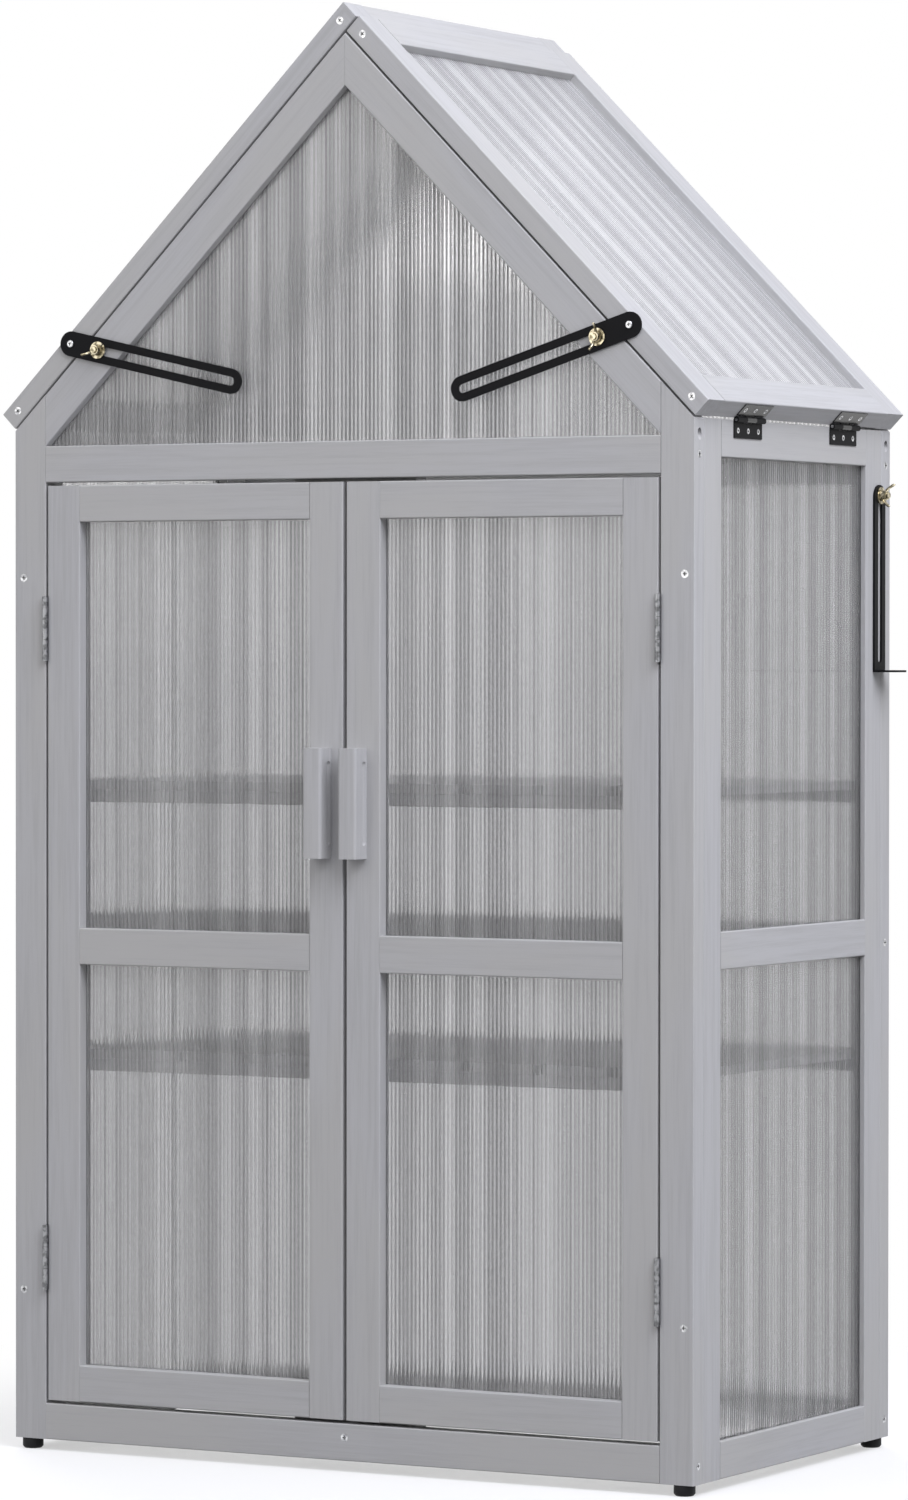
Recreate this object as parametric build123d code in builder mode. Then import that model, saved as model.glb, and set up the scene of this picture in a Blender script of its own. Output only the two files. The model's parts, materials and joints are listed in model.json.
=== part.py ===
from build123d import *
import os
from math import cos, hypot, radians, sin, tan

# Mini greenhouse: a timber frame glazed with twin-wall sheet, with a pair of front doors, a
# gabled roof whose two halves hinge outwards at the eaves, two shelves and ties to a wall.
# The origin is on the ground under the middle of the whole thing. The doors face -Y, the
# height runs along +Z, and heights below are counted from the bottom of the posts.

# Timber
board_width = 35.0
board_thick = 20.0
door_stile_width = 36.5
edge_round = 1.2
groove_depth = 6.0
fit_gap = 0.15
mitre_gap = 0.1

# Twin-wall sheet
sheet_thick = 4.0
sheet_skin = 0.6
flute_pitch = 6.5
flute_rib = 0.6
door_recess = 11.5
side_recess = 5.5
gable_recess = 9.0
roof_recess = 8.0

# Frame
frame_width = 737.0
frame_depth = 421.0
eave_height = 978.5
roof_pitch = 45.0
side_top_gap = 1.5
side_rail_height = 470.0
back_rail_height = 463.5

# Roof
roof_gap = 2.0
ridge_gap = 2.5
ridge_setback = 3.0

# Doors
door_gap = 3.4
meeting_gap = 4.0
door_rail_height = 461.0
stop_length = 132.0
stop_overlap = 14.0
stop_gap = 0.4
stop_inset = 8.0
handle_width = 20.0
handle_depth = 20.5
handle_length = 104.0
handle_height = 620.0
handle_round = 3.0
handle_inset = {"left": 24.3, "right": 14.1}
cove_radius = 4.0
cove_length = 72.0
cove_depth = 2.5

# Shelves
shelf_heights = (378.5, 638.5)
slat_width = 69.0
slat_thick = 9.0
slat_gap = 8.0
slat_side_gap = 3.6
slat_end_gap = 4.0
bearer_width = 20.0
bearer_height = 12.5
bearer_inset = 3.0

# Feet
foot_height = 10.5
foot_radius = 10.1
foot_bevel = 2.2
foot_inset = 14.0

# Screws. A bite is how far a screw runs on past the piece that it holds.
screw_head_radius = 3.8
screw_shank_radius = 1.9
recess_width = 1.0
recess_depth = 1.2
post_screw_inset = 144.5
post_screw_bite = 18.0
rail_screw_bite = 25.0
rafter_screw_length = 52.0
rafter_screw_drop = 16.5
rafter_screw_sink = 13.0
stop_screw_bite = 14.0
stop_screw_inset = 33.0
stop_screw_rise = 22.0
rake_screw_bite = 20.0
rake_screw_inset = 14.5
handle_screw_bite = 12.0
handle_screw_spacing = 64.0
leaf_screw_head_radius = 2.6
leaf_screw_shank_radius = 1.3
leaf_screw_bite = 13.0
pivot_screw_head_radius = 3.5
pivot_screw_shank_radius = 2.2
pivot_screw_head_height = 2.0
pivot_screw_round = 0.8

# Hinges
pin_radius = 1.5
pin_gap = 0.05
knuckle_radius = 2.8
knuckle_gap = 0.4
leaf_thick = 1.1
leaf_width = 17.0
leaf_clear = 0.1
leaf_screw_count = 3
leaf_screw_pitch = 21.0
door_hinge_length = 63.0
door_hinge_inset = 138.0
roof_hinge_length = 58.0
roof_hinge_spacing = 205.0

# Slotted arms
arm_width = 24.0
arm_thick = 2.0
arm_gap = 0.3
slot_clear = 2.5
slot_play = 1.0
stay_slot_end = 187.5
stay_end_margin = 8.0
stay_pivot_along = {"left": 103.3, "right": 106.0}
stay_pivot_rise = {"left": 10.7, "right": 12.8}
stay_bolt_along = {"left": 120.3, "right": 122.1}
stay_bolt_drop = {"left": 16.0, "right": 18.1}
tie_length = 181.0
tie_slot_margin = 9.0
tie_end_margin = 5.0
tie_bolt_drop = 64.5
tie_bolt_clear = 0.5
tab_length = 26.0
tab_round = 4.0
tab_hole_radius = 2.75
tab_hole_out = 15.0

# Clamps
bolt_radius = 3.0
bolt_head_radius = 7.0
bolt_head_height = 3.0
bolt_head_taper = 2.5
bolt_tip = 2.0
washer_radius = 8.2
washer_thick = 1.5
washer_gap = 0.1
nut_radius = 5.4
nut_neck_radius = 4.4
nut_height = 6.0
wing_reach = 13.0
wing_rise = 5.5
wing_thick = 2.4
wing_foot = 1.5
wing_tip = 5.0
wing_round = 2.2
wing_turn = {"left_stay": 23.0, "right_stay": 80.0, "left_tie": -60.0, "right_tie": 60.0}

# Places worked out from the sizes
pitch = radians(roof_pitch)
sides = {"left": -1, "right": 1}
front, back = -1, 1
standing = (Align.CENTER, Align.CENTER, Align.MIN)
hanging = (Align.CENTER, Align.CENTER, Align.MAX)
about_face = Location((0, 0, 0), (180, 0, 0))
half_width = frame_width / 2
half_depth = frame_depth / 2
inner_half_width = half_width - board_thick
post_inner = half_width - board_width
front_y = (handle_depth - frame_depth) / 2
back_y = front_y + frame_depth
middle_y = (front_y + back_y) / 2
side_top = eave_height - side_top_gap
stile_outer = half_depth - board_thick
stile_inner = stile_outer - board_width
rake_inner = half_depth - board_width
seat_thick = sheet_thick + 2 * fit_gap
hinge_offset = knuckle_radius + fit_gap
door_leaf_offset = leaf_thick + leaf_clear
door_seam = 2 * door_leaf_offset
slot_width = 2 * bolt_radius + slot_clear
shelf_inset = board_thick + slat_end_gap

front_face = Plane((0, front_y, foot_height), x_dir=(1, 0, 0), z_dir=(0, -1, 0))
back_face = Plane((0, back_y, foot_height), x_dir=(-1, 0, 0), z_dir=(0, 1, 0))
side_face = {
    side: Plane((sign * half_width, middle_y, foot_height), x_dir=(0, sign, 0), z_dir=(sign, 0, 0))
    for side, sign in sides.items()
}

# The roof's underside meets the outer face of the frame at the eave corner.
roof_face = {
    side: Plane(
        (sign * (half_width + board_thick * sin(pitch)), middle_y,
         foot_height + eave_height + board_thick * cos(pitch)),
        x_dir=(0, sign, 0),
        z_dir=(sign * sin(pitch), 0, cos(pitch)),
    )
    for side, sign in sides.items()
}
slope_length = half_width / cos(pitch)
ridge_cut = (ridge_gap + board_thick * max(0.0, cos(2 * pitch))) / sin(2 * pitch)
roof_length = {"left": slope_length + board_thick - ridge_setback, "right": slope_length - ridge_cut}


def timber_top(across):
    """Height of the gable timber's top edge under the roof, at a distance from the middle."""
    return eave_height + (half_width - abs(across)) * tan(pitch) - roof_gap / cos(pitch)


def rafter_under(across):
    """Height of the rafter's lower edge."""
    return timber_top(across) - board_width / cos(pitch)


def on_slope(along, rise):
    """Distance from the middle and height of a point along the roof from its eave, above its underside."""
    across = half_width - along * cos(pitch) + rise * sin(pitch)
    return across, eave_height + along * sin(pitch) + rise * cos(pitch)


def openings_between(heights):
    """The openings between rails that stand at these heights."""
    return [(low + board_width, high) for low, high in zip(heights, heights[1:])]


header_top = rafter_under(post_inner) - fit_gap
door_opening_top = header_top - board_width
door_low = board_width + door_gap
door_high = door_opening_top - door_gap
rail_heights = {front: (0.0, door_opening_top), back: (0.0, back_rail_height, door_opening_top)}
side_rail_heights = (0.0, side_rail_height, side_top - board_width)
door_rail_heights = (door_low, door_rail_height, door_high - board_width)
back_openings = openings_between(rail_heights[back])
side_openings = openings_between(side_rail_heights)
door_openings = openings_between(door_rail_heights)
door_hinge_heights = (door_low + door_hinge_inset, door_high - door_hinge_inset)
post_screw_heights = (post_screw_inset, eave_height - post_screw_inset)
tie_bolt_inset = board_thick + bolt_head_radius + tie_bolt_clear

slat_room = 2 * (inner_half_width - slat_side_gap)
slat_count = int((slat_room + slat_gap) / (slat_width + slat_gap))
slat_pitch = (slat_room - slat_width) / (slat_count - 1)

# Each bolt runs out of its timber through a slotted arm, a washer and a wing nut.
arm_out = arm_gap + arm_thick
washer_out = arm_out + washer_gap
nut_out = washer_out + washer_thick + washer_gap
bolt_out = nut_out + nut_height + bolt_tip


def spot(face, across, up, out=0.0):
    """A place across, up and out of a face, with its Z axis along the face's normal."""
    return face.location * Location((across, up, out))


def board(face, left, right, low, high, depth=board_thick, under=0.0, mode=Mode.ADD):
    """A block behind a face: its limits across and up it, its depth and how far under it begins."""
    with Locations(spot(face, (left + right) / 2, (low + high) / 2, -under - depth / 2)):
        Box(right - left, high - low, depth, mode=mode)


def ease(builder, direction):
    """Round the edges that run along a direction."""
    fillet(builder.edges().filter_by(Axis((0, 0, 0), direction)), edge_round)


def cut_seat(face, recess, left, right, low, high):
    """Groove for the edges of the sheet that closes an opening."""
    board(face, left - groove_depth, right + groove_depth, low - groove_depth, high + groove_depth,
          seat_thick, recess - fit_gap, Mode.SUBTRACT)


def sheet(face, recess, left, right, low, high):
    """Twin-wall sheet across an opening and its grooves, with its flutes running up the face."""
    reach = groove_depth - fit_gap
    width = right - left + 2 * reach
    end = Plane(
        face.from_local_coords(((left + right) / 2, low - reach, -recess - sheet_thick / 2)),
        x_dir=face.x_dir,
        z_dir=face.y_dir,
    )
    with BuildSketch(end) as section:
        Rectangle(width, sheet_thick)
        with GridLocations(flute_pitch, sheet_thick, int((width - flute_rib) / flute_pitch), 1):
            Rectangle(flute_pitch - flute_rib, sheet_thick - 2 * sheet_skin, mode=Mode.SUBTRACT)
    extrude(section.sketch, amount=high - low + 2 * reach)


def add_tongues(face, recess, left, right, low, high):
    """Tongues at the ends of a rail, for the grooves in the stiles beside it."""
    reach = groove_depth - fit_gap
    board(face, left - reach, right + reach, low, high, sheet_thick, recess)


def screw(head_radius, shank_radius, length, spare=0.0):
    """Countersunk screw, its head flush at the origin and its shank along -Z, or a hole for one."""
    head = head_radius + spare
    shank = shank_radius + spare
    with BuildPart() as body:
        with BuildSketch(Plane.XZ):
            with BuildLine():
                Polyline((0, 0), (head, 0), (shank, shank - head), (shank, shank - length),
                         (0, -length - spare), close=True)
            make_face()
        revolve(axis=Axis.Z)
        if not spare:
            for turn in (0, 90):
                with Locations(Location((0, 0, 0), (0, 0, turn))):
                    Box(head, recess_width, 2 * recess_depth, mode=Mode.SUBTRACT)
    return body.part


def place(part, spots, mode=Mode.ADD):
    """Copies of a part at several places, added to or cut from the open part."""
    with Locations(*spots):
        add(part, mode=mode)


# Screws and the holes for them, each hole a little larger than its screw
def screw_and_hole(length, head_radius=screw_head_radius, shank_radius=screw_shank_radius):
    """A screw and the matching cutter for its hole."""
    return screw(head_radius, shank_radius, length), screw(head_radius, shank_radius, length, fit_gap)


post_screw, post_hole = screw_and_hole(board_thick + post_screw_bite)
rail_screw, rail_hole = screw_and_hole(board_width + rail_screw_bite)
rafter_screw, rafter_hole = screw_and_hole(rafter_screw_length)
stop_screw, stop_hole = screw_and_hole(board_thick + stop_screw_bite)
rake_screw, rake_hole = screw_and_hole(board_width + rake_screw_bite)
handle_screw, handle_hole = screw_and_hole(board_thick + handle_screw_bite)
leaf_screw, leaf_hole = screw_and_hole(
    leaf_thick + leaf_screw_bite, leaf_screw_head_radius, leaf_screw_shank_radius)

with BuildPart() as access:
    Cylinder(screw_head_radius + fit_gap, 2 * rafter_screw_sink, align=standing)

with BuildPart() as bolt_hole:
    Cylinder(bolt_radius + fit_gap, 2 * (board_thick + bolt_out))


# Places of the screws and bolts, each on the face that its head lies in
def post_spots(face):
    """Screws through the posts of one face into the side stiles."""
    across = half_width - board_thick / 2
    return [spot(face, sign * across, up) for sign in sides.values() for up in post_screw_heights]


def rail_spots(end):
    """Screws through the sides of the front or back posts into the ends of their rails."""
    across = end * (half_depth - board_thick / 2)
    return [
        spot(side_face[side], sign * across, height + board_width / 2)
        for side, sign in sides.items()
        for height in rail_heights[end]
    ]


def rafter_spots(end):
    """Sunk screws that run up through the posts into the lower ends of the rafters."""
    across = end * (half_depth - board_thick / 2)
    slant = Location((0, 0, 0), (roof_pitch, 0, 0)) * Location((0, 0, -rafter_screw_sink))
    height = eave_height - rafter_screw_drop
    return [spot(side_face[side], sign * across, height) * slant for side, sign in sides.items()]


def rake_spots(side):
    """Screws through the rake rails of a roof panel into the ends of its cross rails."""
    heights = (rake_screw_inset, roof_length[side] - rake_screw_inset)
    turned = {end: Location((0, 0, 0), (0, 90 * end, 0)) for end in (front, back)}
    return [
        spot(roof_face[side], end * half_depth, height, -board_thick / 2) * turned[end]
        for end in (front, back)
        for height in heights
    ]


def handle_spots(side):
    """Screws through the back of a door into its handle."""
    across = sides[side] * handle_inset[side]
    return [
        spot(front_face, across, handle_height + end * handle_screw_spacing / 2, -board_thick) * about_face
        for end in (front, back)
    ]


def stay_points(side):
    """Pivot and bolt of a stay on the front face, as distances from the middle and heights."""
    pivot = on_slope(stay_pivot_along[side], stay_pivot_rise[side])
    bolt = on_slope(stay_bolt_along[side], -stay_bolt_drop[side])
    return pivot, bolt


def stay_spot(side):
    """Clamp bolt of a stay, on the front face of the gable."""
    bolt = stay_points(side)[1]
    return spot(front_face, sides[side] * bolt[0], bolt[1])


def tie_spot(side):
    """Clamp bolt of a wall tie, on the outer face of the rear stile."""
    across = sides[side] * (half_depth - tie_bolt_inset)
    return spot(side_face[side], across, eave_height - tie_bolt_drop)


stop_screw_across = stop_length / 2 - stop_screw_inset
stop_screw_height = header_top - stop_screw_rise
stop_spots = [
    spot(front_face, 0, stop_screw_rise),
    *(
        spot(front_face, sign * stop_screw_across, stop_screw_height, -2 * board_thick) * about_face
        for sign in sides.values()
    ),
]


# Hinges. In a leaf's own frame Y runs along the pin, X from the pin across the leaf, and Z out of the wood.
def door_leaf_frames(side, carrier):
    """Frames of a door's hinge leaves, on its post or on the door itself."""
    sign = sides[side]
    facing = -sign if carrier == "post" else sign
    across = sign * (post_inner - door_leaf_offset)
    return [
        Plane((across, front_y - hinge_offset, foot_height + height), x_dir=(0, 1, 0), z_dir=(facing, 0, 0))
        for height in door_hinge_heights
    ]


def roof_leaf_frames(side, carrier):
    """Frames of a roof panel's hinge leaves, on the wall or on the panel's lower end."""
    sign = sides[side]
    if carrier == "wall":
        out = (sign, 0, 0)
        across = (0, 0, -1)
    else:
        out = (sign * cos(pitch), 0, -sin(pitch))
        across = (sign * sin(pitch), 0, cos(pitch))
    pin_x = sign * (half_width + hinge_offset)
    pin_z = foot_height + eave_height - hinge_offset * tan(pitch / 2)
    return [
        Plane((pin_x, middle_y + end * roof_hinge_spacing / 2, pin_z), x_dir=across, z_dir=out)
        for end in (front, back)
    ]


def leaf_spots(frames, offset):
    """Screws of hinge leaves, on their outer faces."""
    across = (knuckle_radius + knuckle_gap + leaf_width) / 2
    middle = (leaf_screw_count - 1) / 2
    return [
        spot(frame, across, (index - middle) * leaf_screw_pitch, leaf_thick - offset)
        for frame in frames
        for index in range(leaf_screw_count)
    ]


def hinge_leaf(frame, length, offset, fixed):
    """Leaf with two outer knuckles, or with the middle one where it isn't fixed to the frame."""
    third = length / 3
    barrel = third - knuckle_gap
    start = knuckle_radius + knuckle_gap
    for middle in (-third, third) if fixed else (0,):
        board(frame, 0, start, middle - barrel / 2, middle + barrel / 2, leaf_thick, offset - leaf_thick)
        with Locations(spot(frame, 0, middle)):
            Cylinder(knuckle_radius, barrel, rotation=(90, 0, 0))
    board(frame, start, leaf_width, -length / 2, length / 2, leaf_thick, offset - leaf_thick)
    with Locations(spot(frame, 0, 0)):
        Cylinder(pin_radius + pin_gap, length, rotation=(90, 0, 0), mode=Mode.SUBTRACT)


def hinge_leaves(frames, length, offset, fixed):
    """All the leaves of one kind on one carrier."""
    with BuildPart() as leaves:
        for frame in frames:
            hinge_leaf(frame, length, offset, fixed)
        place(leaf_hole, leaf_spots(frames, offset), Mode.SUBTRACT)
    return leaves


nodes = {}


def keep(name, builder):
    """Name a finished piece and put it on the list of pieces to write."""
    builder.part.label = name
    nodes[name] = builder.part


# Front and back frames
def post(face, end, side):
    """Corner post, its top cut to the slope of the roof."""
    turn = -end * sides[side]
    with BuildPart() as upright:
        with BuildSketch(face):
            with BuildLine():
                Polyline(
                    (turn * half_width, 0),
                    (turn * post_inner, 0),
                    (turn * post_inner, timber_top(post_inner)),
                    (turn * half_width, timber_top(half_width)),
                    close=True,
                )
            make_face()
        extrude(amount=-board_thick)
        ease(upright, (0, 0, 1))
        place(post_hole, post_spots(face), Mode.SUBTRACT)
        place(rail_hole, rail_spots(end), Mode.SUBTRACT)
        place(rafter_hole, rafter_spots(end), Mode.SUBTRACT)
        place(access.part, rafter_spots(end), Mode.SUBTRACT)
        if end == front:
            frames = door_leaf_frames(side, "post")
            place(leaf_hole, leaf_spots(frames, door_leaf_offset), Mode.SUBTRACT)
        else:
            for low, high in back_openings:
                cut_seat(face, gable_recess, -post_inner, post_inner, low, high)
    return upright


def gable_outline(face, margin, half):
    """Outline of the gable's opening, grown into the timber round it by a margin."""
    peak = rafter_under(0) + margin / cos(pitch)
    shoulder = peak - half * tan(pitch)
    low = header_top - margin
    with BuildSketch(face) as outline:
        with BuildLine():
            Polyline((-half, low), (half, low), (half, shoulder), (0, peak), (-half, shoulder), close=True)
        make_face()
    return outline.sketch


def cut_gable_seat(face):
    """Groove for the edges of the gable's sheet."""
    outline = gable_outline(face.offset(fit_gap - gable_recess), groove_depth, post_inner)
    extrude(outline, amount=-seat_thick, mode=Mode.SUBTRACT)


def rafters(face, end):
    """Pair of gable rafters, mitred at the ridge and butted against the posts."""
    with BuildPart() as pair:
        for sign in sides.values():
            with BuildSketch(face):
                with BuildLine():
                    Polyline(
                        (sign * mitre_gap, timber_top(mitre_gap)),
                        (sign * post_inner, timber_top(post_inner)),
                        (sign * post_inner, rafter_under(post_inner)),
                        (sign * mitre_gap, rafter_under(mitre_gap)),
                        close=True,
                    )
                make_face()
        extrude(amount=-board_thick)
        for sign in sides.values():
            ease(pair, (-sign * cos(pitch), 0, sin(pitch)))
        cut_gable_seat(face)
        place(rafter_hole, rafter_spots(end), Mode.SUBTRACT)
        if end == front:
            place(bolt_hole.part, [stay_spot(side) for side in sides], Mode.SUBTRACT)
    return pair


def gable_panel(face):
    """Sheet that closes a gable, cut to the slope of the rafters."""
    reach = groove_depth - fit_gap
    half = post_inner - fit_gap
    with BuildPart() as panel:
        peak = rafter_under(0) + reach / cos(pitch)
        sheet(face, gable_recess, reach - half, half - reach, header_top, peak)
        extrude(gable_outline(face, reach, half), amount=-board_thick, mode=Mode.INTERSECT)
    return panel


for side in sides:
    keep(f"front_post_{side}", post(front_face, front, side))
    keep(f"back_post_{side}", post(back_face, back, side))

with BuildPart() as front_header:
    board(front_face, -post_inner, post_inner, door_opening_top, header_top)
    ease(front_header, (1, 0, 0))
    cut_gable_seat(front_face)
    place(rail_hole, rail_spots(front), Mode.SUBTRACT)
    place(stop_hole, stop_spots, Mode.SUBTRACT)
keep("front_header", front_header)

with BuildPart() as front_sill:
    board(front_face, -post_inner, post_inner, 0, board_width)
    ease(front_sill, (1, 0, 0))
    place(rail_hole, rail_spots(front), Mode.SUBTRACT)
    place(stop_hole, stop_spots, Mode.SUBTRACT)
keep("front_sill", front_sill)

with BuildPart() as back_rails:
    for height in rail_heights[back]:
        board(back_face, -post_inner, post_inner, height, height + board_width)
    ease(back_rails, (1, 0, 0))
    for low, high in back_openings:
        cut_seat(back_face, gable_recess, -post_inner, post_inner, low, high)
    cut_gable_seat(back_face)
    place(rail_hole, rail_spots(back), Mode.SUBTRACT)
keep("back_rails", back_rails)

with BuildPart() as back_panels:
    for low, high in back_openings:
        sheet(back_face, gable_recess, -post_inner, post_inner, low, high)
keep("back_panels", back_panels)

keep("front_rafters", rafters(front_face, front))
keep("back_rafters", rafters(back_face, back))
keep("front_gable_panel", gable_panel(front_face))
keep("back_gable_panel", gable_panel(back_face))

# Side frames, two of each piece in a node
with BuildPart() as side_stiles:
    for face in side_face.values():
        for left, right in ((-stile_outer, -stile_inner), (stile_inner, stile_outer)):
            board(face, left, right, 0, side_top)
    ease(side_stiles, (0, 0, 1))
    for face in side_face.values():
        board(face, -stile_inner - groove_depth, stile_inner + groove_depth, 0, side_top,
              seat_thick, side_recess - fit_gap, Mode.SUBTRACT)
    place(post_hole, post_spots(front_face) + post_spots(back_face), Mode.SUBTRACT)
    place(bolt_hole.part, [tie_spot(side) for side in sides], Mode.SUBTRACT)
keep("side_stiles", side_stiles)

with BuildPart() as side_rails:
    for face in side_face.values():
        for height in side_rail_heights:
            board(face, -stile_inner, stile_inner, height, height + board_width)
    ease(side_rails, (0, 1, 0))
    for face in side_face.values():
        for height in side_rail_heights:
            add_tongues(face, side_recess, -stile_inner, stile_inner, height, height + board_width)
        for low, high in side_openings:
            cut_seat(face, side_recess, -stile_inner, stile_inner, low, high)
    for side in sides:
        place(leaf_hole, leaf_spots(roof_leaf_frames(side, "wall"), hinge_offset), Mode.SUBTRACT)
keep("side_rails", side_rails)

with BuildPart() as side_panels:
    for face in side_face.values():
        for low, high in side_openings:
            sheet(face, side_recess, -stile_inner, stile_inner, low, high)
keep("side_panels", side_panels)

# Shelves
with BuildPart() as shelf_slats:
    for top in shelf_heights:
        for index in range(slat_count):
            middle = (index - (slat_count - 1) / 2) * slat_pitch
            board(front_face, middle - slat_width / 2, middle + slat_width / 2, top - slat_thick, top,
                  frame_depth - 2 * shelf_inset, shelf_inset)
    ease(shelf_slats, (0, 1, 0))
keep("shelf_slats", shelf_slats)

with BuildPart() as shelf_bearers:
    for top in shelf_heights:
        for face in (front_face, back_face):
            high = top - slat_thick
            board(face, -inner_half_width, inner_half_width, high - bearer_height, high,
                  bearer_width, shelf_inset + bearer_inset)
    ease(shelf_bearers, (1, 0, 0))
keep("shelf_bearers", shelf_bearers)

# Door stops behind the header and the sill
with BuildPart() as door_stops:
    half_stop = stop_length / 2
    sill_stop_top = board_width + stop_overlap
    header_stop_low = door_opening_top - stop_overlap
    board(front_face, -half_stop, half_stop, stop_inset, sill_stop_top, under=board_thick)
    board(front_face, -half_stop, half_stop, header_stop_low, header_top - stop_inset, under=board_thick)
    board(front_face, -half_stop, half_stop, board_width, door_opening_top,
          stop_gap, board_thick, Mode.SUBTRACT)
    place(stop_hole, stop_spots, Mode.SUBTRACT)
keep("door_stops", door_stops)

# Feet
with BuildPart() as feet:
    with GridLocations(2 * (half_width - foot_inset), frame_depth - board_thick, 2, 2):
        with Locations((0, middle_y)):
            Cylinder(foot_radius, foot_height, align=standing)
    chamfer(feet.edges().group_by(Axis.Z)[0], foot_bevel)
keep("feet", feet)

# Hinge pins and the leaves on the frame
with BuildPart() as hinge_pins:
    for side in sides:
        for frame in door_leaf_frames(side, "post"):
            with Locations(spot(frame, 0, 0)):
                Cylinder(pin_radius, door_hinge_length, rotation=(90, 0, 0))
        for frame in roof_leaf_frames(side, "wall"):
            with Locations(spot(frame, 0, 0)):
                Cylinder(pin_radius, roof_hinge_length, rotation=(90, 0, 0))
keep("hinge_pins", hinge_pins)

post_leaf_frames = [frame for side in sides for frame in door_leaf_frames(side, "post")]
wall_leaf_frames = [frame for side in sides for frame in roof_leaf_frames(side, "wall")]
keep("door_hinge_post_leaves", hinge_leaves(post_leaf_frames, door_hinge_length, door_leaf_offset, True))
keep("roof_hinge_wall_leaves", hinge_leaves(wall_leaf_frames, roof_hinge_length, hinge_offset, True))

with BuildPart() as frame_screws:
    place(post_screw, post_spots(front_face) + post_spots(back_face))
    place(rail_screw, rail_spots(front) + rail_spots(back))
    place(rafter_screw, rafter_spots(front) + rafter_spots(back))
    place(stop_screw, stop_spots)
    place(leaf_screw, leaf_spots(post_leaf_frames, door_leaf_offset))
    place(leaf_screw, leaf_spots(wall_leaf_frames, hinge_offset))
keep("frame_screws", frame_screws)

# Doors
for side, sign in sides.items():
    inner, outer = meeting_gap / 2, post_inner - door_seam
    stile_spans = [sorted((sign * inner, sign * (inner + door_stile_width))),
                   sorted((sign * (outer - door_stile_width), sign * outer))]
    left, right = sorted((sign * (inner + door_stile_width), sign * (outer - door_stile_width)))
    door_frames = door_leaf_frames(side, "door")

    with BuildPart() as stiles:
        for low_edge, high_edge in stile_spans:
            board(front_face, low_edge, high_edge, door_low, door_high)
        ease(stiles, (0, 0, 1))
        board(front_face, left - groove_depth, right + groove_depth, door_low, door_high,
              seat_thick, door_recess - fit_gap, Mode.SUBTRACT)
        place(leaf_hole, leaf_spots(door_frames, door_leaf_offset), Mode.SUBTRACT)
        place(handle_hole, handle_spots(side), Mode.SUBTRACT)
    keep(f"{side}_door_stiles", stiles)

    with BuildPart() as rails:
        for height in door_rail_heights:
            board(front_face, left, right, height, height + board_width)
        ease(rails, (1, 0, 0))
        for height in door_rail_heights:
            add_tongues(front_face, door_recess, left, right, height, height + board_width)
        for low, high in door_openings:
            cut_seat(front_face, door_recess, left, right, low, high)
    keep(f"{side}_door_rails", rails)

    with BuildPart() as panels:
        for low, high in door_openings:
            sheet(front_face, door_recess, left, right, low, high)
    keep(f"{side}_door_panels", panels)

    with BuildPart() as handle:
        middle = sign * handle_inset[side]
        board(front_face, middle - handle_width / 2, middle + handle_width / 2,
              handle_height - handle_length / 2, handle_height + handle_length / 2,
              handle_depth, -handle_depth)
        fillet(handle.edges().filter_by(Axis.Z).group_by(Axis.Y)[0], handle_round)
        for edge in sides.values():
            across = middle + edge * (handle_width / 2 + cove_radius - cove_depth)
            out = cove_radius + edge_round
            with Locations(spot(front_face, across, handle_height, out)):
                Cylinder(cove_radius, cove_length, rotation=(90, 0, 0), mode=Mode.SUBTRACT)
            with Locations(*(spot(front_face, across, handle_height + end * cove_length / 2, out)
                             for end in (front, back))):
                Sphere(cove_radius, mode=Mode.SUBTRACT)
        place(handle_hole, handle_spots(side), Mode.SUBTRACT)
    keep(f"{side}_door_handle", handle)

    keep(f"{side}_door_hinge_leaves", hinge_leaves(door_frames, door_hinge_length, door_leaf_offset, False))

    with BuildPart() as screws:
        place(leaf_screw, leaf_spots(door_frames, door_leaf_offset))
        place(handle_screw, handle_spots(side))
    keep(f"{side}_door_screws", screws)

# Roof panels
for side in sides:
    face = roof_face[side]
    length = roof_length[side]
    roof_frames = roof_leaf_frames(side, "roof")

    with BuildPart() as rakes:
        for left, right in ((-half_depth, -rake_inner), (rake_inner, half_depth)):
            board(face, left, right, 0, length)
        ease(rakes, face.y_dir)
        cut_seat(face, roof_recess, -rake_inner, rake_inner, board_width, length - board_width)
        place(rake_hole, rake_spots(side), Mode.SUBTRACT)
    keep(f"{side}_roof_rakes", rakes)

    with BuildPart() as cross_rails:
        for low, high in ((0, board_width), (length - board_width, length)):
            board(face, -rake_inner, rake_inner, low, high)
        ease(cross_rails, face.x_dir)
        cut_seat(face, roof_recess, -rake_inner, rake_inner, board_width, length - board_width)
        place(rake_hole, rake_spots(side), Mode.SUBTRACT)
        place(leaf_hole, leaf_spots(roof_frames, hinge_offset), Mode.SUBTRACT)
    keep(f"{side}_roof_cross_rails", cross_rails)

    with BuildPart() as roof_sheet:
        sheet(face, roof_recess, -rake_inner, rake_inner, board_width, length - board_width)
    keep(f"{side}_roof_panel", roof_sheet)

    keep(f"{side}_roof_hinge_leaves", hinge_leaves(roof_frames, roof_hinge_length, hinge_offset, False))

    with BuildPart() as screws:
        place(rake_screw, rake_spots(side))
        place(leaf_screw, leaf_spots(roof_frames, hinge_offset))
    keep(f"{side}_roof_screws", screws)

# Clamps
with BuildPart() as clamp_bolt:
    Cylinder(bolt_radius, board_thick + bolt_out, align=standing)
    Cone(bolt_head_radius - bolt_head_taper, bolt_head_radius, bolt_head_height, align=hanging)

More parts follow.
